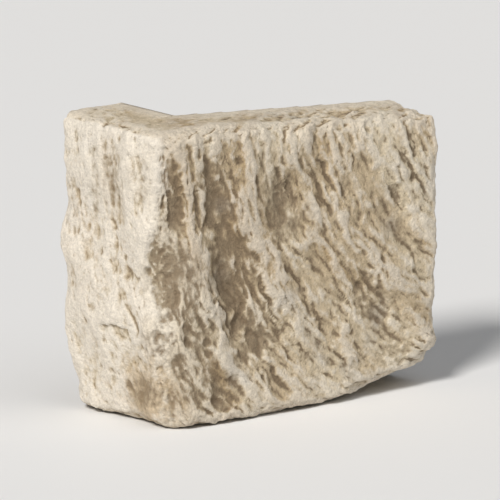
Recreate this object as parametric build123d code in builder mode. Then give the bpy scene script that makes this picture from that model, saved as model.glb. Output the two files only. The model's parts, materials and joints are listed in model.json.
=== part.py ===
from build123d import *
import math
import os
import random

# An L-shaped corner stone for wall cladding, in one piece, standing on its bed.
# The long leg lies along X and the return along Y, and they meet at the outer
# arris, at low X and low Y. The faces outside are hewn: flake after flake was
# struck off them. The two backs, which close on the corner of a wall, are sawn
# square. Sizes are in millimetres. The origin is under the middle of the box.

# Overall sizes, over the highest points of the hewn faces
length = 190.0
return_length = 90.0
height = 157.0
thickness = 42.0
top_fall = 9.0  # how far the top falls from the return to the far end

# Outline
joint_depth = 13.0  # how far back from the face an end is square
head_taper = 4.0  # how far it falls away from there to the back

# Flakes struck off all over: each is a round scoop, given by its rim and depth.
flake_spacing = 31.0
flake_rim = (15.0, 25.0)
flake_depth = (1.3, 3.4)
head_rim = (9.0, 16.0)  # on the ends, which are dressed flatter
head_depth = (0.5, 1.3)
scatter = 0.36  # how far a flake strays from its place, as a share of the spacing

# Flakes along the edges, which wear them down: round the top, the bed and the
# ends, and larger ones down the arris. They lean to one side or the other.
edge_spacing = 22.0
edge_rim = (11.0, 20.0)
edge_depth = (2.4, 5.0)
arris_rim = (14.0, 24.0)
arris_depth = (3.5, 6.5)
lean = 0.45  # at most, as the tangent of the angle

# Furrows left where the stone split along its grain: from one place to another
# on the face, each a distance from the arris and a height, with rim and depth.
furrow_step = 10.5
furrow_stray = 2.5  # how far a furrow's flakes stray to either side
long_face_furrows = [
    ((10.0, 128.0), (18.0, 66.0), 14.0, 5.0),
    ((38.0, 122.0), (62.0, 34.0), 14.0, 7.0),
    ((76.0, 128.0), (96.0, 84.0), 12.0, 4.0),
    ((104.0, 78.0), (128.0, 36.0), 15.0, 3.5),
    ((140.0, 58.0), (158.0, 28.0), 16.0, 4.5),
    ((146.0, 112.0), (168.0, 76.0), 17.0, 3.5),
]
return_furrows = [
    ((26.0, 60.0), (36.0, 24.0), 14.0, 3.0),
    ((50.0, 130.0), (62.0, 88.0), 16.0, 3.5),
]

# Corners knocked off at the foot, with rim and depth
long_foot_knock = (50.0, 9.0)
return_foot_knock = (20.0, 6.0)

half_length = length / 2
half_return = return_length / 2
struck = random.Random(11)


def strike(place, rim, depth):
    """Takes a round flake off at a plane's origin, to this depth below the plane."""
    radius = (rim**2 + depth**2) / (2 * depth)
    middle = place.offset(radius - depth).origin
    # The sphere lies on its side, so that neither its poles nor its seam meets the stone.
    with Locations(Plane(middle, x_dir=place.z_dir, z_dir=place.y_dir)):
        Sphere(radius, mode=Mode.SUBTRACT)


def places(run, spacing):
    """Middles of a row of flakes, evenly along a run, which may go either way."""
    count = max(1, round(abs(run) / spacing))
    return [run * (i + 0.5) / count for i in range(count)]


def stray(spacing):
    return spacing * scatter * struck.uniform(-1, 1)


def on(face, along, up):
    """The face's own plane, moved to a place on the face."""
    return Plane(face.from_local_coords((along, up, 0)), x_dir=face.x_dir, z_dir=face.z_dir)


def hew(face, run, rise, rims, depths):
    """Strikes flakes off all over a face, whose plane has its origin at a corner."""
    for level in places(rise, flake_spacing):
        for along in places(run, flake_spacing):
            place = on(face, along + stray(flake_spacing), level + stray(flake_spacing))
            strike(place, struck.uniform(*rims), struck.uniform(*depths))


def furrow(face, start, end, rim, depth):
    """Strikes a ragged row of flakes off a face, deepest at the middle of the row."""
    run = Vector(*end) - Vector(*start)
    for place in places(run.length, furrow_step):
        at = Vector(*start) + run.normalized() * place
        at += run.normalized().cross(Vector(0, 0, 1)) * struck.uniform(-furrow_stray, furrow_stray)
        fade = 0.35 + 0.65 * math.sin(math.pi * place / run.length)
        strike(on(face, at.X, at.Y), rim * struck.uniform(0.8, 1.15), depth * fade)


def wear(start, end, outward, rims, depths):
    """Strikes flakes off along an edge that faces outward."""
    along = (end - start).normalized()
    across = along.cross(outward)
    for run in places((end - start).length, edge_spacing):
        at = start + along * (run + stray(edge_spacing))
        facing = outward + across * struck.uniform(-lean, lean)
        strike(Plane(at, z_dir=facing), struck.uniform(*rims), struck.uniform(*depths))


with BuildPart() as corner_stone:
    with BuildSketch() as outline:
        with BuildLine():
            Polyline(
                (-half_length, -half_return),
                (half_length, -half_return),
                (half_length, joint_depth - half_return),
                (half_length - head_taper, thickness - half_return),
                (thickness - half_length, thickness - half_return),
                (thickness - half_length, half_return - head_taper),
                (joint_depth - half_length, half_return),
                (-half_length, half_return),
                close=True,
            )
        make_face()
    extrude(amount=height)

    # The outer corners at the bed, and up from each to the top. The top is level
    # over the return, and falls away along the rest of the long leg.
    arris = Vector(-half_length, -half_return)
    long_end = Vector(half_length, -half_return)
    return_end = Vector(-half_length, half_return)
    rise = Vector(0, 0, height)
    far_rise = Vector(0, 0, height - top_fall)
    crest = arris + rise + Vector(thickness, 0)
    split(bisect_by=Plane(crest, z_dir=(top_fall, 0, length - thickness)), keep=Keep.BOTTOM)

    # Planes on the hewn faces: origin at the foot, first axis along the face.
    long_face = Plane((-half_length, -half_return, 0), x_dir=(1, 0, 0), z_dir=(0, -1, 0))
    return_face = Plane((-half_length, -half_return, 0), x_dir=(0, -1, 0), z_dir=(-1, 0, 0))
    long_head = Plane((half_length, -half_return, 0), x_dir=(0, 1, 0), z_dir=(1, 0, 0))
    return_head = Plane((-half_length, half_return, 0), x_dir=(-1, 0, 0), z_dir=(0, 1, 0))

    hew(long_face, length, height, flake_rim, flake_depth)
    hew(return_face, -return_length, height, flake_rim, flake_depth)
    hew(long_head, thickness, height, head_rim, head_depth)
    hew(return_head, -thickness, height, head_rim, head_depth)

    for start, end, rim, depth in long_face_furrows:
        furrow(long_face, start, end, rim, depth)
    for (along, up), (end_along, end_up), rim, depth in return_furrows:
        furrow(return_face, (-along, up), (-end_along, end_up), rim, depth)

    # Round the bed and the top, then down the three upright edges.
    wear(arris, long_end, Vector(0, -1, -1), edge_rim, edge_depth)
    wear(arris, return_end, Vector(-1, 0, -1), edge_rim, edge_depth)
    wear(arris + rise, crest, Vector(0, -1, 1), edge_rim, edge_depth)
    wear(crest, long_end + far_rise, Vector(0, -1, 1), edge_rim, edge_depth)
    wear(arris + rise, return_end + rise, Vector(-1, 0, 1), edge_rim, edge_depth)
    wear(long_end, long_end + far_rise, Vector(1, -1, 0), edge_rim, edge_depth)
    wear(return_end, return_end + rise, Vector(-1, 1, 0), edge_rim, edge_depth)
    wear(arris, arris + rise, Vector(-1, -1, 0), arris_rim, arris_depth)

    strike(Plane(long_end, z_dir=(0.4, -0.6, -1)), *long_foot_knock)
    strike(Plane(return_end, z_dir=(-0.5, 1, -1)), *return_foot_knock)

corner_stone.part.label = "corner_stone"

os.makedirs("parts", exist_ok=True)
export_step(corner_stone.part, "parts/corner_stone.step")
print("overall", corner_stone.part.bounding_box())
print("volume in litres", corner_stone.part.volume / 1e6)
print("faces", len(corner_stone.part.faces()), "solids", len(corner_stone.part.solids()))
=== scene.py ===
import itertools
import json
import math
from types import SimpleNamespace

import bmesh
import bpy
import numpy as np
from bpy.props import FloatProperty, FloatVectorProperty, IntProperty, PointerProperty
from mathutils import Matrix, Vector


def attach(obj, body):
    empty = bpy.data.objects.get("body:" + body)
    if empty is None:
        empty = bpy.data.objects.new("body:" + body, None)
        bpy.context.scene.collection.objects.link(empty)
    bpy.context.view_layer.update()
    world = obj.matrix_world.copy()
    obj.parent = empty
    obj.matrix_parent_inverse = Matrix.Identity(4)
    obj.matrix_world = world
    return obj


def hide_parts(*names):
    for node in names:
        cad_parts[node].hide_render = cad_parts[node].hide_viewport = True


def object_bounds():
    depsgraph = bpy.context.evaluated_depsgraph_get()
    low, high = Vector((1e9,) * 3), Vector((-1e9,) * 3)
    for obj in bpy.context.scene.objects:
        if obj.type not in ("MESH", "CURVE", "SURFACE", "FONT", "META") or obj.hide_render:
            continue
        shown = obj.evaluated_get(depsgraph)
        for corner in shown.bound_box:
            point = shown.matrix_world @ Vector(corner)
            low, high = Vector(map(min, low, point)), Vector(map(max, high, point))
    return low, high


bl_info = {
    "name": "Hewn Corner Stone",
    "version": (1, 0, 0),
    "blender": (4, 5, 0),
    "location": "View3D > Sidebar > Corner Stone",
    "description": "Builds a hewn corner stone for wall cladding, and a studio to see it in",
    "category": "Add Mesh",
}

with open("model.json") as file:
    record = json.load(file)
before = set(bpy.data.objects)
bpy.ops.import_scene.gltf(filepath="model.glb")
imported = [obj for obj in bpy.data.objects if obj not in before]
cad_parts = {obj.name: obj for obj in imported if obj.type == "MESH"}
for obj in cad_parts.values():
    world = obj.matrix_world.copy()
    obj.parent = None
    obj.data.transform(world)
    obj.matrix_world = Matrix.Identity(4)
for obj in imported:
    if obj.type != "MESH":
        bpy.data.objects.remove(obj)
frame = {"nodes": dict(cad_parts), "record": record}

# Sizes and places in this file are millimetres, unless a comment says metres.
CAD_LOW, CAD_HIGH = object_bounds()
MM = 1000.0
BOX_LOW = np.array(CAD_LOW) * MM
BOX_HIGH = np.array(CAD_HIGH) * MM

# The two sawn backs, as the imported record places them
MOUNTS = {mount["name"]: mount["pos_m"] for mount in frame["record"]["mounts"]}
LONG_BACK_Y = MOUNTS["back_of_long_leg"][1] * MM
RETURN_BACK_X = MOUNTS["back_of_return"][0] * MM
SAWN_GAP = 0.5  # nearer than this to a back, nothing is carved
SAWN_FADE = (0.2, 1.5)  # the looks of sawn stone end between these gaps from a back
END_FALL = 5  # the ends fall away towards the backs by less than this

# Both faces split along arcs about a centre: nearly upright at the top of the
# arris, and more slanting towards the ends and the foot. The centre is a distance
# from the arris, the same on either face, and a height over the bed.
SPLIT_CENTRE = (290, 182)

# How many times longer each kind of mark is along the split than across it
CHIP_STRETCH = 2.0
FLAKE_STRETCH = 3.0
STREAK_STRETCH = 5.0
LEDGE_STRETCH = 6.0
GRIT_STRETCH = 2.2
COLOUR_STRETCH = 5.0

# Noise that makes the marks stray, from one of its bumps to the next
BEND_SPACING = 19
RAG_SPACING = 6

# The distances between which the stone goes
BACK_RUN = (SAWN_GAP, 20)  # from sawn to hewn, away from a back
BED_RUN = (0.4, 4.0)  # from less to fully hewn, away from the bed or the level top
RIM_RUN = (4, 14)  # from fully to less hewn, in over the bed or the top
ARRIS_RUN = (4, 18)  # from rounded to less so, away from the arris
GRAIN_RUN = (4, 16)  # from plain marks to marks along the split, away from the arris

# How far a point faces the way of a face: not on it at the first, on it at the second
RETURN_FACING = (0.45, 0.8)
LONG_FACING = (0.3, 0.7)

# Valleys down the long face: the two ends of each, as a distance from the arris
# and a height over the bed, then half its width, and how deep and dark it is, up to 1.
# Their darkening is partly grime and partly painted shade.
VALLEYS = (
    ((9, 136), (13, 72), 13, 1.0),
    ((13, 72), (42, 14), 14, 0.9),
    ((38, 126), (54, 92), 14, 0.9),
    ((54, 92), (70, 42), 15, 1.0),
    ((72, 136), (88, 98), 12, 0.7),
    ((138, 62), (160, 18), 14, 0.6),
)
VALLEY_DEPTH = 1.8
VALLEY_FADE = (0.1, 1.3)  # as shares of half the width

# Larger breaks: where each is deepest, how far it reaches, and how far it sets the
# stone back, each in X, Y and Z. The first is at the far end's foot, the second at
# the return's end, in the third the return's face draws in towards the bed, and
# the others break the arris.
BREAKS = (
    ((BOX_HIGH[0], BOX_LOW[1], 0), (74, 50, 46), (0, 0, 12)),
    ((BOX_LOW[0], BOX_HIGH[1], 0), (60, 34, 90), (0, -6, 0)),
    ((BOX_LOW[0], BOX_LOW[1], 0), (34, 150, 60), (9, 0, 0)),
    ((BOX_LOW[0], BOX_LOW[1], 76), (24, 30, 38), (2, 9, 0)),
    ((BOX_LOW[0], BOX_LOW[1], 46), (20, 24, 26), (1, 4, 0)),
    ((BOX_LOW[0], BOX_LOW[1], 16), (28, 36, 44), (0, 8, 0)),
)
BREAK_FADE = (0.1, 1.0)  # as shares of the reach

# Darker patches at the arris and on the return, partly grime and partly painted shade
# in and beside the breaks of the arris: where each lies from the box's low corner,
# how far it reaches in X, Y and Z, and how dark it is, up to 1
PATCHES = (
    ((2, 9, 78), (14, 15, 20), 0.65),
    ((3, 8, 46), (16, 14, 22), 0.8),
    ((8, 24, 17), (26, 18, 12), 0.7),
    ((12, 6, 16), (26, 14, 22), 0.6),
    ((2, 46, 130), (20, 20, 18), 0.4),
    ((2, 12, 132), (16, 18, 20), 0.35),
    ((14, 0, 116), (15, 20, 34), 0.5),
    ((18, 0, 76), (17, 20, 34), 1.0),
    ((18, 0, 42), (18, 20, 26), 0.75),
)
PATCH_FADE = (0.3, 1.2)  # as shares of the reach

# A patch of iron stain, from the box's low corner. The rest is in metres: where it
# fades, how ragged its rim is, and where the painted shade beside the arris fades.
IRON_MIDDLE = (8, 22, 18)
IRON_FADE = (0.008, 0.026)
IRON_RAG = 0.050
ARRIS_SHADE_FADE = (0.050, 0.130)

# Hollows of three widths: an attribute's name, the rounds of evening out that fill
# such hollows, and the depth that counts as deepest. The material darkens them,
# partly as grime and partly as painted shade.
HOLLOWS = (("hollow_fine", 5, 0.3), ("hollow", 45, 1.0), ("hollow_broad", 260, 2.2))

# What the mesh keeps for the material, besides the hollows
STORED = ("streak", "valley", "patch", "return_side", "grained", "sawn")

# Odd factors, shifts and a mask that turn the place of a cell into random numbers
CELL_FACTORS = np.array((0x9E3779B1, 0x85EBCA77, 0xC2B2AE3D), np.uint32)
SEED_FACTOR = 7919
MIXING = ((15, 0x2C1B3C6D), (12, 0x297A2D39))
LAST_SHIFT = 15
TEN_BITS = 1023


# Noise, worked out for many points at once

def scramble(cells, seed):
    """A random whole number of 32 bits for each cell of a lattice."""
    in_x, in_y, in_z = (cells.astype(np.int64).astype(np.uint32) * CELL_FACTORS).T
    mixed = in_x + in_y + in_z + np.uint32(seed * SEED_FACTOR)
    for shift, factor in MIXING:
        mixed = (mixed ^ (mixed >> np.uint32(shift))) * np.uint32(factor)
    return mixed ^ (mixed >> np.uint32(LAST_SHIFT))


def thirds(mixed):
    """Three numbers from 0 to 1 out of each scrambled one, each from ten of its bits."""
    taken = [(mixed >> np.uint32(shift)) & np.uint32(TEN_BITS) for shift in (0, 10, 20)]
    return np.stack(taken, 1) / TEN_BITS


def noise(points, seed):
    """Smooth noise from about -1 to 1, whose bumps are a unit apart."""
    swing = 1.3
    cells = np.floor(points)
    inside = points - cells
    ease = inside**3 * (inside * (inside * 6 - 15) + 10)
    total = np.zeros(len(points))
    for corner in itertools.product((0, 1), repeat=3):
        slope = thirds(scramble(cells + corner, seed)) * 2 - 1
        share = np.prod(np.where(corner, ease, 1 - ease), axis=1)
        total += share * np.sum(slope * (inside - corner), axis=1)
    return total * swing


def layered(points, seed):
    """Noise with finer and weaker noise laid over it."""
    layers = 3
    finer = 2.03
    weaker = 0.5
    return sum(noise(points * finer**i, seed + i) * weaker**i for i in range(layers))


def dents(points, seed, share):
    """Round dents from 0 to 1, one to a unit cell, of which this share are there."""
    least_reach = 0.28
    more_reach = 0.36
    cells = np.floor(points)
    deepest = np.zeros(len(points))
    for step in itertools.product((-1, 0, 1), repeat=3):
        middle = cells + step + thirds(scramble(cells + step, seed))
        chance = thirds(scramble(cells + step, seed + 1))
        reach = least_reach + more_reach * chance[:, 0]
        apart = np.sum((points - middle) ** 2, axis=1) / reach**2
        dent = np.where(chance[:, 1] < share, np.clip(1 - apart, 0, 1), 0)
        deepest = np.maximum(deepest, dent)
    return deepest


def chips(points, seed):
    """How deep blows broke the stone, up to about 1: tilted scoops that meet in sharp edges."""
    bowl = 0.6
    tilt = 0.8
    stagger = 0.25
    brim = 0.35
    cells = np.floor(points)
    height = np.full(len(points), np.inf)
    for step in itertools.product((-1, 0, 1), repeat=3):
        middle = cells + step + thirds(scramble(cells + step, seed))
        lean = thirds(scramble(cells + step, seed + 1)) * 2 - 1
        apart = points - middle
        scoop = np.sum(apart * apart, axis=1) * bowl + np.sum(apart * lean, axis=1) * tilt
        height = np.minimum(height, scoop + lean[:, 0] * stagger)
    return brim - height


def rise(values, low, high):
    """0 below low and 1 above high, with an eased run between."""
    t = np.clip((values - low) / (high - low), 0, 1)
    return t * t * (3 - 2 * t)


def patchy(points, spacing, seed, low, high):
    """0 on some of the stone and 1 on some, this far apart, as noise runs from low to high."""
    return rise(noise(points / spacing, seed), low, high)


# Places on the stone

def nearness(points, middle, reach, fade):
    """1 in the middle of a place and 0 out of its reach, with an eased run between."""
    off = np.linalg.norm((points - middle) / reach, axis=1)
    return 1 - rise(off, *fade)


def valleys(points):
    """How far points of the long face lie in a valley, from 0 to 1."""
    place = points[:, (0, 2)] - BOX_LOW[[0, 2]]
    found = np.zeros(len(points))
    for start, end, half_width, amount in VALLEYS:
        run = np.subtract(end, start)
        share = np.clip((place - start) @ run / (run @ run), 0, 1)
        nearest = start + share[:, None] * run
        found = np.maximum(found, nearness(place, nearest, half_width, VALLEY_FADE) * amount)
    return found


def patches(points):
    """How far points lie in a darker patch, partly grime and partly painted shade, from 0 to 1."""
    found = np.zeros(len(points))
    for middle, reach, amount in PATCHES:
        found = np.maximum(found, nearness(points - BOX_LOW, middle, reach, PATCH_FADE) * amount)
    return found


def along_split(points, stretch):
    """Points laid out by the split: across its arcs, into the stone, and squeezed along the arcs."""
    far, up = SPLIT_CENTRE
    from_corner = points - BOX_LOW
    along = from_corner[:, 0] - from_corner[:, 1]
    inward = np.minimum(from_corner[:, 0], from_corner[:, 1])
    rest = far - abs(along)
    height = from_corner[:, 2] - up
    reach = np.hypot(rest, height)
    across = np.where(along > 0, reach, 2 * np.hypot(far, height) - reach)
    return np.stack((across, inward, np.arctan2(height, rest) * reach / stretch), 1)


def back_gap(points):
    """How far each point lies from the nearer sawn back."""
    slack = 1
    far_off = 99
    x, y = points[:, 0], points[:, 1]
    long_gap = np.where(x > RETURN_BACK_X - slack, abs(y - LONG_BACK_Y), far_off)
    return_gap = np.where(y > LONG_BACK_Y - slack, abs(x - RETURN_BACK_X), far_off)
    return np.minimum(long_gap, return_gap)


def hewn_share(points, gap):
    """How fully the stone is hewn: 0 at a back, 1 on the faces, and less amid the bed and top."""
    on_bed = 0.25
    inward = np.minimum(points[:, 0] - BOX_LOW[0], points[:, 1] - BOX_LOW[1])
    off_bed = np.minimum(points[:, 2] - BOX_LOW[2], BOX_HIGH[2] - points[:, 2])
    at_rim = 1 - rise(inward, *RIM_RUN)
    return rise(gap, *BACK_RUN) * np.maximum(rise(off_bed, *BED_RUN), on_bed + (1 - on_bed) * at_rim)


class Surface:
    """A mesh's points in millimetres, and what joins them."""

    def __init__(self, mesh):
        self.mesh = mesh
        count = len(mesh.vertices)
        co = np.empty(count * 3, np.float32)
        mesh.vertices.foreach_get("co", co)
        self.points = co.reshape(-1, 3).astype(float) * MM
        edges = np.empty(len(mesh.edges) * 2, np.int32)
        mesh.edges.foreach_get("vertices", edges)
        edges = edges.reshape(-1, 2)
        self.near = np.concatenate((edges[:, 0], edges[:, 1]))
        self.far = np.concatenate((edges[:, 1], edges[:, 0]))
        self.ties = np.maximum(np.bincount(self.near, minlength=count), 1)

    def averaged(self, values, rounds, share=1.0):
        """Values that go this share of the way to their neighbours' mean, this many times."""
        values = values.copy()
        columns = values.reshape(len(values), -1)
        for _ in range(rounds):
            for column in columns.T:
                sums = np.bincount(self.near, weights=column[self.far], minlength=len(column))
                column += (sums / self.ties - column) * share
        return values

    def store(self):
        self.mesh.vertices.foreach_set("co", (self.points / MM).astype(np.float32).ravel())
        self.mesh.update()

    def normals(self):
        """Which way each point faces, by the points that are stored."""
        found = np.empty(len(self.points) * 3, np.float32)
        self.mesh.vertices.foreach_get("normal", found)
        return found.reshape(-1, 3).astype(float)

    def attribute(self, name, values):
        made = self.mesh.attributes.new(name, "FLOAT", "POINT")
        made.data.foreach_set("value", values.astype(np.float32))


class Marks:
    """What breaking and weather left on the faces, at each point of the mesh."""

    def __init__(self, points, normals, settings):
        plainer_return = 0.45
        calmer_return = 0.4
        least_streaked = 0.4
        self.points = points
        self.settings = settings
        self.on_return = rise(-normals[:, 0], *RETURN_FACING)
        on_long = rise(-normals[:, 1], *LONG_FACING)
        off_arris = abs((points[:, 0] - BOX_LOW[0]) - (points[:, 1] - BOX_LOW[1]))
        self.grained = rise(off_arris, *GRAIN_RUN) * (1 - plainer_return * self.on_return)
        self.bend = np.stack([noise(points / BEND_SPACING, seed) for seed in (3, 4, 5)], 1)
        self.ragged = np.stack([layered(points / RAG_SPACING, seed) for seed in (6, 7, 8)], 1)
        self.valley = valleys(self.strayed(bend=6, ragged=3)) * on_long
        often = patchy(points, spacing=38, seed=25, low=-0.3, high=0.3)
        self.streaked = least_streaked + (1 - least_streaked) * often
        self.streaked *= 1 - calmer_return * self.on_return
        self.streak = self.ragged_streaks()

    def strayed(self, bend=0.0, ragged=0.0):
        """The points, moved by noise of these strengths, so that no mark is regular."""
        return self.points + self.bend * bend + self.ragged * ragged

    def by_grain(self, split, plain):
        """Marks along the split where the stone is grained, and plain ones elsewhere."""
        return split * self.grained + plain * (1 - self.grained)

    def broad_chips(self):
        """Scoops, 0 where there is none."""
        width = self.settings.chip_width * MM
        split = along_split(self.strayed(bend=3, ragged=1.2), CHIP_STRETCH)
        return np.maximum(chips(split / width, seed=11), 0)

    def small_flakes(self):
        """Smaller scoops, 0 where there is none."""
        width = self.settings.flake_width * MM
        places = self.strayed(ragged=1.2)
        split = chips(along_split(places, FLAKE_STRETCH) / width, seed=15)
        plain = chips(places / width, seed=16)
        return np.maximum(self.by_grain(split, plain), 0)

    def ragged_streaks(self):
        """Ridges above 0 and grooves below it, weaker where they don't follow the split."""
        weaker = 0.7
        width = self.settings.streak_width * MM
        places = along_split(self.strayed(bend=4, ragged=1.6), STREAK_STRETCH)
        split = layered(places / width, seed=21)
        plain = layered(self.strayed(ragged=1.6) / width, seed=22) * weaker
        return self.by_grain(split, plain)

    def ledges(self):
        """Layers that go slowly deeper, up to 1, and end at a step, on some of the stone."""
        wander_spacing = 30
        wander = 1.1
        step_start = 0.86
        split = along_split(self.strayed(bend=5), LEDGE_STRETCH)
        sweep = split[:, 0] / (self.settings.ledge_width * MM)
        sweep += noise(split / wander_spacing, seed=31) * wander
        part = sweep - np.floor(sweep)
        often = patchy(self.points, spacing=30, seed=33, low=0.1, high=0.5)
        return part * (1 - rise(part, step_start, 1.0)) * often

    def coarse_grit(self):
        """Grains above 0 and the gaps between them below it."""
        size = self.settings.grit_size * MM
        split = layered(along_split(self.points, GRIT_STRETCH) / size, seed=41)
        plain = layered(self.points / size, seed=42)
        return self.by_grain(split, plain)

    def pits(self):
        """Round pits, up to 1, shallower on some of the stone."""
        shallower = 0.3
        spacing = self.settings.pit_spacing * MM
        often = patchy(self.points, spacing=26, seed=51, low=0.0, high=0.4)
        found = dents(self.points / spacing, seed=61, share=0.35)
        return found * (shallower + (1 - shallower) * often)

    def depth(self):
        """How deep the stone is broken away. Ridges and grains stand out by being spared."""
        ground = 0.5
        grit_share = 0.6
        settings = self.settings
        depth = self.valley * VALLEY_DEPTH
        for share, most in (
            (self.broad_chips(), settings.chip_depth),
            (self.small_flakes(), settings.flake_depth),
            ((ground - self.streak) * self.streaked, settings.streak_depth),
            (self.ledges(), settings.ledge_height),
            ((ground - self.coarse_grit()) * grit_share, settings.grit_height),
            (self.pits(), settings.pit_depth),
        ):
            depth += share * most * MM
        return depth


class Wire:
    """A socket in a material's node tree, so that shader maths reads as maths."""

    def __init__(self, tree, socket=None):
        self.tree = tree
        self.socket = socket

    def node(self, kind, settings=None, sockets=None, output=0):
        """Adds a node: its settings first, then the values or wires of its sockets."""
        made = self.tree.nodes.new(kind)
        for name, value in (settings or {}).items():
            setattr(made, name, value)
        for name, value in (sockets or {}).items():
            if isinstance(value, Wire):
                self.tree.links.new(value.socket, made.inputs[name])
            else:
                made.inputs[name].default_value = value
        return Wire(self.tree, made.outputs[output] if made.outputs else None)

    def maths(self, operation, *values):
        return self.node("ShaderNodeMath", {"operation": operation}, dict(enumerate(values)))

    def __add__(self, other):
        return self.maths("ADD", self, other)

    __radd__ = __add__

    def __mul__(self, other):
        return self.maths("MULTIPLY", self, other)

    __rmul__ = __mul__

    def __sub__(self, other):
        return self.maths("SUBTRACT", self, other)

    def __rsub__(self, other):
        return self.maths("SUBTRACT", other, self)

    def axis(self, index):
        """One of this vector's three numbers."""
        return self.node("ShaderNodeSeparateXYZ", sockets={0: self}, output=index)

    def distance(self, place):
        """How far this vector's end is from a place."""
        return self.node("ShaderNodeVectorMath", {"operation": "DISTANCE"}, {0: self, 1: place}, "Value")

    def scaled(self, amount):
        """This colour or vector, times an amount."""
        return self.node("ShaderNodeVectorMath", {"operation": "SCALE"}, {0: self, "Scale": amount})

    def eased(self, low, high):
        """0 below low and 1 above high, with an eased run between."""
        return self.node(
            "ShaderNodeMapRange",
            {"interpolation_type": "SMOOTHSTEP"},
            {"Value": self, "From Min": low, "From Max": high},
        )

    def tint(self, first, second):
        """The first colour where this is 0, and the second where it is 1."""
        return self.node("ShaderNodeMix", {"data_type": "RGBA"}, {0: self, 6: first, 7: second}, 2)

    def grain(self, wavelength, detail=2.0, rough=0.5):
        """Noise over this vector, about 0 to 1, at a wavelength in millimetres."""
        return self.node(
            "ShaderNodeTexNoise",
            sockets={"Vector": self, "Scale": MM / wavelength, "Detail": detail, "Roughness": rough},
        )


# What a user may change, with its lengths in metres

def length(name, description, millimetres):
    return FloatProperty(
        name=name, description=description, default=millimetres / MM, unit="LENGTH", min=0
    )


def colour(name, description, default):
    return FloatVectorProperty(
        name=name, description=description, default=default, subtype="COLOR", min=0, max=1
    )


def angle(name, description, degrees):
    return FloatProperty(
        name=name, description=description, default=math.radians(degrees), subtype="ANGLE"
    )


def light_strength(name, description, default):
    return FloatProperty(name=name, description=description, default=default, min=0)


class StoneSettings(bpy.types.PropertyGroup):
    mesh_step: length("Mesh step", "Size of the faces that the stone is carved in", 1.0)
    soften_rounds: IntProperty(
        name="Weathering", description="How often the hewn faces are evened out", default=70
    )
    chip_width: length("Chip width", "From one broad broken chip to the next", 17.0)
    chip_depth: length("Chip depth", "Depth of the broad chips", 2.4)
    flake_width: length("Flake width", "From one small broken flake to the next", 6.5)
    flake_depth: length("Flake depth", "Depth of the small flakes", 1.4)
    streak_width: length("Streak width", "From one ragged streak to the next", 7.0)
    streak_depth: length("Streak depth", "Depth of the ragged streaks", 1.8)
    ledge_width: length("Ledge width", "From one broken layer to the next", 23.0)
    ledge_height: length("Ledge height", "How far the stone drops at a broken layer", 1.2)
    grit_size: length("Grit size", "Size of the coarsest grit", 3.4)
    grit_height: length("Grit height", "How far the grit stands out", 1.0)
    pit_spacing: length("Pit spacing", "Size of the cells that may hold a pit", 9.0)
    pit_depth: length("Pit depth", "Depth of the deepest pits", 1.2)
    spared: length("Spared", "Depth that every break stops short by, so that crests stay", 0.9)
    # The pale of the crests is partly painted highlight; the umber is partly painted shade in hollows,
    # crevices, valleys and beside the arris.
    pale: colour("Pale", "Crests, where the stone is freshly broken", (0.84, 0.78, 0.69))
    cream: colour("Cream", "Most of the stone", (0.69, 0.585, 0.42))
    tan: colour("Tan", "Drifts over the cream", (0.53, 0.41, 0.26))
    ochre: colour("Ochre", "Iron stain in patches", (0.46, 0.32, 0.16))
    umber: colour("Umber", "Dirt and shade in the hollows", (0.20, 0.145, 0.09))
    grey: colour("Grey", "Weathered patches", (0.52, 0.48, 0.42))


class StageSettings(bpy.types.PropertyGroup):
    azimuth: angle("Azimuth", "Side that the camera stands on", -38)
    elevation: angle("Elevation", "Height of the camera over the horizon", 12)
    distance: FloatProperty(
        name="Distance", description="From the camera to the stone", default=3.9, unit="LENGTH"
    )
    lens: FloatProperty(name="Lens", description="Focal length in millimetres", default=540, min=1)
    floor_colour: colour("Floor", "Colour of the floor", (0.80, 0.80, 0.80))
    sky_strength: light_strength("Sky", "Strength of the even light", 0.17)
    key_strength: light_strength("Key light", "Strength of the light from the left", 3.3)
    fill_strength: light_strength("Fill light", "Strength of the light from the front", 0.57)


# The stone's mesh

def settle(piece):
    """Makes the piece's modifiers part of its mesh."""
    graph = bpy.context.evaluated_depsgraph_get()
    old = piece.data
    piece.data = bpy.data.meshes.new_from_object(piece.evaluated_get(graph))
    piece.modifiers.clear()
    bpy.data.meshes.remove(old)
    piece.data.name = piece.name


def even_mesh(name, node, step):
    """A closed copy of a node's mesh, in faces of one size, which is in metres."""
    solid = bmesh.new()
    solid.from_mesh(node.data)
    bmesh.ops.remove_doubles(solid, verts=solid.verts, dist=1e-6)
    mesh = bpy.data.meshes.new(name)
    solid.to_mesh(mesh)
    solid.free()
    piece = bpy.data.objects.new(name, mesh)
    bpy.context.scene.collection.objects.link(piece)
    remesh = piece.modifiers.new("Even faces", "REMESH")
    remesh.mode = "VOXEL"
    remesh.voxel_size = step
    settle(piece)
    return piece


def ease_edges(piece):
    """Evens out the steps that the even mesh has along its edges, with the sawn backs still flat."""
    on_back = 0.3
    surface = Surface(piece.data)
    points = surface.points
    even = surface.averaged(points, rounds=4, share=0.6)
    sawn = back_gap(points) < on_back
    long_back = sawn & (abs(points[:, 1] - LONG_BACK_Y) < on_back)
    return_back = sawn & (abs(points[:, 0] - RETURN_BACK_X) < on_back)
    even[long_back, 1] = points[long_back, 1]
    even[return_back, 0] = points[return_back, 0]
    surface.points = even
    surface.store()


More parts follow.
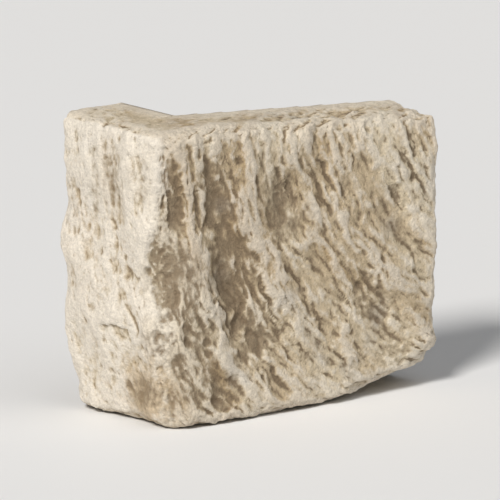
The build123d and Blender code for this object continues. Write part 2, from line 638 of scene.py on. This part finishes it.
def thin_backs(piece):
    """Takes out most faces of the sawn backs, which are flat, but none near their edges."""
    on_back = 0.2
    margin = 3.0
    taken = 0.93
    points = Surface(piece.data).points
    x, y, z = points.T
    flat = (back_gap(points) < on_back) & (z > margin) & (z < BOX_HIGH[2] - margin)
    flat &= (x < BOX_HIGH[0] - END_FALL - margin) & (y < BOX_HIGH[1] - END_FALL - margin)
    group = piece.vertex_groups.new(name="Sawn")
    group.add(np.flatnonzero(flat).tolist(), 1.0, "REPLACE")
    thin = piece.modifiers.new("Thin", "DECIMATE")
    thin.vertex_group = group.name
    thin.ratio = 1 - taken * np.mean(flat)
    settle(piece)
    piece.vertex_groups.clear()


def soften(surface, hewn, rounds):
    """Evens out the hewn stone, and rounds its arris."""
    points = surface.points
    even = surface.averaged(points, rounds, share=0.6)
    rounder = surface.averaged(even, rounds=60)
    from_arris = np.hypot(points[:, 0] - BOX_LOW[0], points[:, 1] - BOX_LOW[1])
    even += (rounder - even) * (1 - rise(from_arris, *ARRIS_RUN))[:, None]
    points += (even - points) * hewn[:, None]


def carve(piece, settings):
    """Breaks the even mesh's outer faces as hewn stone breaks, always inward."""
    beside_backs = 0.12
    surface = Surface(piece.data)
    points = surface.points
    gap = back_gap(points)
    hewn = hewn_share(points, gap)
    soften(surface, hewn, settings.soften_rounds)
    for corner, reach, shift in BREAKS:
        points += np.outer(nearness(points, corner, reach, BREAK_FADE), shift)
    surface.store()
    normals = surface.averaged(surface.normals(), rounds=6)
    normals /= np.linalg.norm(normals, axis=1)[:, None]

    marks = Marks(points, normals, settings)
    carved = beside_backs + (1 - beside_backs) * hewn
    carved[gap < SAWN_GAP] = 0
    depth = np.maximum(marks.depth() - settings.spared * MM, 0) * carved
    points -= normals * depth[:, None]
    np.clip(points, BOX_LOW, BOX_HIGH, out=points)
    surface.store()
    store_looks(surface, marks, carved, gap)


def store_looks(surface, marks, carved, gap):
    """Keeps on the mesh what its material goes by, under the names in STORED and HOLLOWS."""
    points = surface.points
    normals = surface.normals()
    surface.attribute("streak", np.clip(-marks.streak * marks.streaked, -1, 1) * carved)
    surface.attribute("valley", marks.valley)
    surface.attribute("patch", patches(marks.strayed(bend=4, ragged=3)))
    surface.attribute("return_side", marks.on_return)
    surface.attribute("grained", marks.grained)
    surface.attribute("sawn", 1 - rise(gap, *SAWN_FADE))
    for name, rounds, deepest in HOLLOWS:
        sunk = np.sum((surface.averaged(points, rounds) - points) * normals, axis=1)
        surface.attribute(name, np.clip(sunk / deepest, -1, 1) * (gap > SAWN_GAP))


# The stone's material, whose places are in metres. Its weights were chosen one by one.

def split_places(spot):
    """A spot laid out by the split, as along_split lays out points."""
    far, up = (value / MM for value in SPLIT_CENTRE)
    x, y, z = (spot.axis(index) - BOX_LOW[index] / MM for index in range(3))
    along = x - y
    rest = far - along.maths("ABSOLUTE", along)
    height = z - up
    reach = along.maths("SQRT", rest * rest + height * height)
    at_arris = along.maths("SQRT", height * height + far * far)
    on_long = along.maths("GREATER_THAN", along, 0.0)
    across = on_long * reach + (1 - on_long) * (2 * at_arris - reach)
    inward = along.maths("MINIMUM", x, y)
    turned = along.maths("ARCTAN2", height, rest) * reach
    sockets = {0: across, 1: inward, 2: turned * (1 / COLOUR_STRETCH)}
    return spot.node("ShaderNodeCombineXYZ", sockets=sockets)


def stone_wires(tree):
    """What the material goes by: the mesh's attributes, two layouts of its places, and noise."""
    start = Wire(tree)
    wires = SimpleNamespace()
    for name in (*STORED, *(hollow[0] for hollow in HOLLOWS)):
        setattr(wires, name, start.node("ShaderNodeAttribute", {"attribute_name": name}, output="Fac"))
    wires.spot = start.node("ShaderNodeTexCoord", output="Object")
    wires.split = split_places(wires.spot)
    along_veins = wires.split.grain(6, detail=5, rough=0.65)
    plain_veins = wires.spot.grain(5, detail=5, rough=0.65)
    wires.vein = along_veins * wires.grained + plain_veins * (1 - wires.grained)
    wires.mottle = wires.spot.grain(4.5, detail=5, rough=0.65)
    off_arris = wires.spot.axis(0) - BOX_LOW[0] / MM
    # Painted shade on the long face beside the arris, in tan and umber, fading away from it.
    wires.browned = (1 - off_arris.eased(*ARRIS_SHADE_FADE)) * (1 - wires.return_side)
    return wires


def dirt_shade_and_highlight(wires):
    """How dark the stone is in hollows, valleys and patches, partly grime and partly painted shade; how
    dark in a crevice, as painted shade with the veins; and how pale up a crest, partly painted
    highlight; each about 0 to 1.
    """
    at_return = wires.return_side
    fine = wires.hollow_fine
    veined = wires.vein - 0.5
    mottled = wires.mottle - 0.5

    # Darker in hollows, partly grime and partly painted shade, and less so on the return, which is
    # painted lighter as the lit side.
    sunk = wires.hollow_broad * (0.4 - at_return * 0.3) + wires.hollow * 0.35
    sunk = sunk + fine * 0.25 + wires.streak * 0.25
    # Valleys and patches darken, partly grime and partly painted shade.
    placed = sunk.maths("MAXIMUM", wires.valley * 0.7, wires.patch * 1.35)
    dirt_and_shade = sunk + fine * 0.3 + veined * 1.7 + wires.browned * 0.15 + placed
    # The return is painted lighter: partly its own paler tone, partly painted light from the key on the
    # left.
    lighter_return = (1 - wires.patch) * at_return * 0.5
    dirt_and_shade = dirt_and_shade.eased(-0.05, 1.25) * (1 - lighter_return) * (0.55 + wires.mottle * 0.9)

    # Crevices and grooves darken as painted shade, along with the grain's veins.
    crevice = fine * 0.7 + wires.streak * 0.3 + veined * 0.8 - at_return * 0.1
    # Crests go pale, partly freshly broken stone and partly painted highlight.
    crest = at_return * 0.5 - sunk + mottled * 0.6
    # The crests' painted highlight is stronger on the lit return and weaker in the patches.
    paler = (at_return * 0.35 + 0.65) * (1 - wires.patch * 0.4)
    return dirt_and_shade, crevice.eased(0.25, 0.8), crest.eased(-0.1, 0.6) * paler


def stone_shade(wires, settings):
    """The stone's colour: coats over the cream, one on another, with painted shade in the hollows,
    crevices, valleys and beside the arris, painted highlight on the crests, and a fine mottle over all.
    """
    drift = wires.split.grain(34, detail=4, rough=0.55).eased(0.42, 0.62)
    stain = wires.split.grain(17, detail=4, rough=0.6).eased(0.56, 0.72)
    weathered = wires.spot.grain(30, detail=3).eased(0.56, 0.70)
    speck = wires.spot.grain(1.6).eased(0.64, 0.74)
    grains = wires.spot.grain(1.3, detail=3, rough=0.6)
    off_iron = wires.spot.distance(tuple((BOX_LOW + IRON_MIDDLE) / MM))
    iron = 1 - (off_iron + (wires.vein - 0.5) * IRON_RAG).eased(*IRON_FADE)
    dirt_and_shade, crevice, crest = dirt_shade_and_highlight(wires)

    shade = (*settings.cream, 1)
    for cover, coat in (
        # Tan drifts, and painted shade beside the arris.
        (drift * 0.7 + wires.browned * 0.3, settings.tan),
        (weathered * 0.5, settings.grey),
        (stain * 0.55, settings.ochre),
        # Pale crests, partly painted highlight.
        (crest * 0.8, settings.pale),
        (iron * 0.6, settings.ochre),
        # Umber in hollows, valleys and patches, partly grime and partly painted shade; in crevices,
        # painted shade.
        (dirt_and_shade * 0.78, settings.umber),
        (crevice * 0.7, settings.umber),
        (speck * 0.15, settings.umber),
    ):
        shade = cover.tint(shade, (*coat, 1))
    return shade.scaled(0.48 + wires.mottle * 0.44 + grains * 0.60)


def stone_bump(wires):
    """Fine grit all over, and saw lines on the backs."""
    spot = wires.spot
    saw = spot.node(
        "ShaderNodeTexWave",
        settings={"bands_direction": "DIAGONAL"},
        sockets={"Vector": spot, "Scale": 95.0, "Distortion": 1.2, "Detail": 2.0, "Detail Scale": 0.6},
        output="Fac",
    )
    grit = spot.grain(1.1, detail=6, rough=0.7)
    hewn = grit + spot.grain(3.0, detail=4, rough=0.6) * 1.2
    sawn = saw * 0.35 + grit * 0.45
    height = spot.node("ShaderNodeMix", {"data_type": "FLOAT"}, {0: wires.sawn, 2: hewn, 3: sawn})
    sockets = {"Strength": 0.8, "Distance": 0.0016, "Height": height}
    return spot.node("ShaderNodeBump", sockets=sockets, output="Normal")


def stone_material(settings):
    """Pale split limestone, hewn on its faces and sawn on its backs."""
    material = bpy.data.materials.new("Hewn limestone")
    material.use_nodes = True
    tree = material.node_tree
    tree.nodes.clear()
    wires = stone_wires(tree)
    sockets = {
        "Base Color": stone_shade(wires, settings),
        "Roughness": wires.mottle * 0.12 + 0.84,
        "Normal": stone_bump(wires),
        "Specular IOR Level": 0.3,
    }
    shader = wires.spot.node("ShaderNodeBsdfPrincipled", sockets=sockets)
    shader.node("ShaderNodeOutputMaterial", sockets={"Surface": shader})
    return material


# The stage, in metres

def plain_material(name, shade, roughness):
    material = bpy.data.materials.new(name)
    material.use_nodes = True
    shader = material.node_tree.nodes["Principled BSDF"]
    shader.inputs["Base Color"].default_value = (*shade, 1)
    shader.inputs["Roughness"].default_value = roughness
    return material


def add_floor(scene, shade):
    """A round pale floor, far wider than the view."""
    ground = bmesh.new()
    bmesh.ops.create_circle(ground, cap_ends=True, radius=12, segments=96)
    mesh = bpy.data.meshes.new("floor")
    ground.to_mesh(mesh)
    ground.free()
    mesh.materials.append(plain_material("Pale floor", shade, roughness=0.7))
    floor = bpy.data.objects.new("floor", mesh)
    scene.collection.objects.link(floor)


def add_sky(scene, strength):
    """White light from all sides."""
    sky = bpy.data.worlds.new("Even sky")
    sky.use_nodes = True
    background = sky.node_tree.nodes["Background"]
    background.inputs["Color"].default_value = (1, 1, 1, 1)
    background.inputs["Strength"].default_value = strength
    scene.world = sky


def direction(azimuth, elevation):
    """Unit vector from the stone towards a place. Azimuth 0 is in front of the long face."""
    flat = math.cos(elevation)
    return Vector((math.sin(azimuth) * flat, -math.cos(azimuth) * flat, math.sin(elevation)))


def far_light(name, azimuth, elevation, width, strength, shade):
    """A light as even as the sun's, from a disc this wide in the sky. The angles are in degrees."""
    lamp = bpy.data.lights.new(name, "SUN")
    lamp.angle = math.radians(width)
    lamp.energy = strength
    lamp.color = shade
    holder = bpy.data.objects.new(name, lamp)
    towards = direction(math.radians(azimuth), math.radians(elevation))
    holder.rotation_euler = towards.to_track_quat("Z", "Y").to_euler()
    bpy.context.scene.collection.objects.link(holder)


def add_camera(scene, settings):
    """A camera that looks at the middle of the stone."""
    lens = bpy.data.cameras.new("Camera")
    lens.lens = settings.lens
    lens.clip_end = 100
    camera = bpy.data.objects.new("Camera", lens)
    middle = (Vector(CAD_LOW) + Vector(CAD_HIGH)) / 2
    towards = direction(settings.azimuth, settings.elevation)
    camera.location = middle + towards * settings.distance
    camera.rotation_euler = towards.to_track_quat("Z", "Y").to_euler()
    scene.collection.objects.link(camera)
    bpy.context.scene.camera = camera


class OBJECT_OT_corner_stone(bpy.types.Operator):
    """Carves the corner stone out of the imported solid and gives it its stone"""

    bl_idname = "object.corner_stone"
    bl_label = "Corner Stone"

    def execute(self, context):
        settings = context.scene.corner_stone
        piece = even_mesh("hewn_corner_stone", frame["nodes"]["corner_stone"], settings.mesh_step)
        ease_edges(piece)
        thin_backs(piece)
        carve(piece, settings)
        piece.data.shade_smooth()
        piece.data.materials.clear()
        piece.data.materials.append(stone_material(settings))
        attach(piece, "root")
        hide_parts("corner_stone")
        return {"FINISHED"}


class OBJECT_OT_corner_stone_stage(bpy.types.Operator):
    """Sets up the floor, the lights and the camera"""

    bl_idname = "object.corner_stone_stage"
    bl_label = "Stage"

    def execute(self, context):
        scene = context.scene
        settings = scene.corner_stone_stage
        add_floor(scene, settings.floor_colour)
        add_sky(scene, settings.sky_strength)
        far_light(
            "Key",
            azimuth=-63,
            elevation=40,
            width=16,
            strength=settings.key_strength,
            shade=(1.0, 0.975, 0.94),
        )
        far_light(
            "Fill",
            azimuth=8,
            elevation=55,
            width=50,
            strength=settings.fill_strength,
            shade=(0.95, 0.97, 1.0),
        )
        add_camera(scene, settings)
        scene.view_settings.view_transform = "Standard"
        return {"FINISHED"}


class VIEW3D_PT_corner_stone(bpy.types.Panel):
    bl_label = "Corner Stone"
    bl_space_type = "VIEW_3D"
    bl_region_type = "UI"
    bl_category = "Corner Stone"

    def draw(self, context):
        for settings, operator in (
            (context.scene.corner_stone, OBJECT_OT_corner_stone),
            (context.scene.corner_stone_stage, OBJECT_OT_corner_stone_stage),
        ):
            for name in settings.bl_rna.properties.keys():
                if name not in ("rna_type", "name"):
                    self.layout.prop(settings, name)
            self.layout.operator(operator.bl_idname)


CLASSES = (
    StoneSettings,
    StageSettings,
    OBJECT_OT_corner_stone,
    OBJECT_OT_corner_stone_stage,
    VIEW3D_PT_corner_stone,
)


def register():
    for kind in CLASSES:
        bpy.utils.register_class(kind)
    bpy.types.Scene.corner_stone = PointerProperty(type=StoneSettings)
    bpy.types.Scene.corner_stone_stage = PointerProperty(type=StageSettings)


def unregister():
    del bpy.types.Scene.corner_stone_stage
    del bpy.types.Scene.corner_stone
    for kind in reversed(CLASSES):
        bpy.utils.unregister_class(kind)


def main():
    register()
    bpy.ops.object.corner_stone()
    bpy.ops.object.corner_stone_stage()


if __name__ == "__main__":
    main()
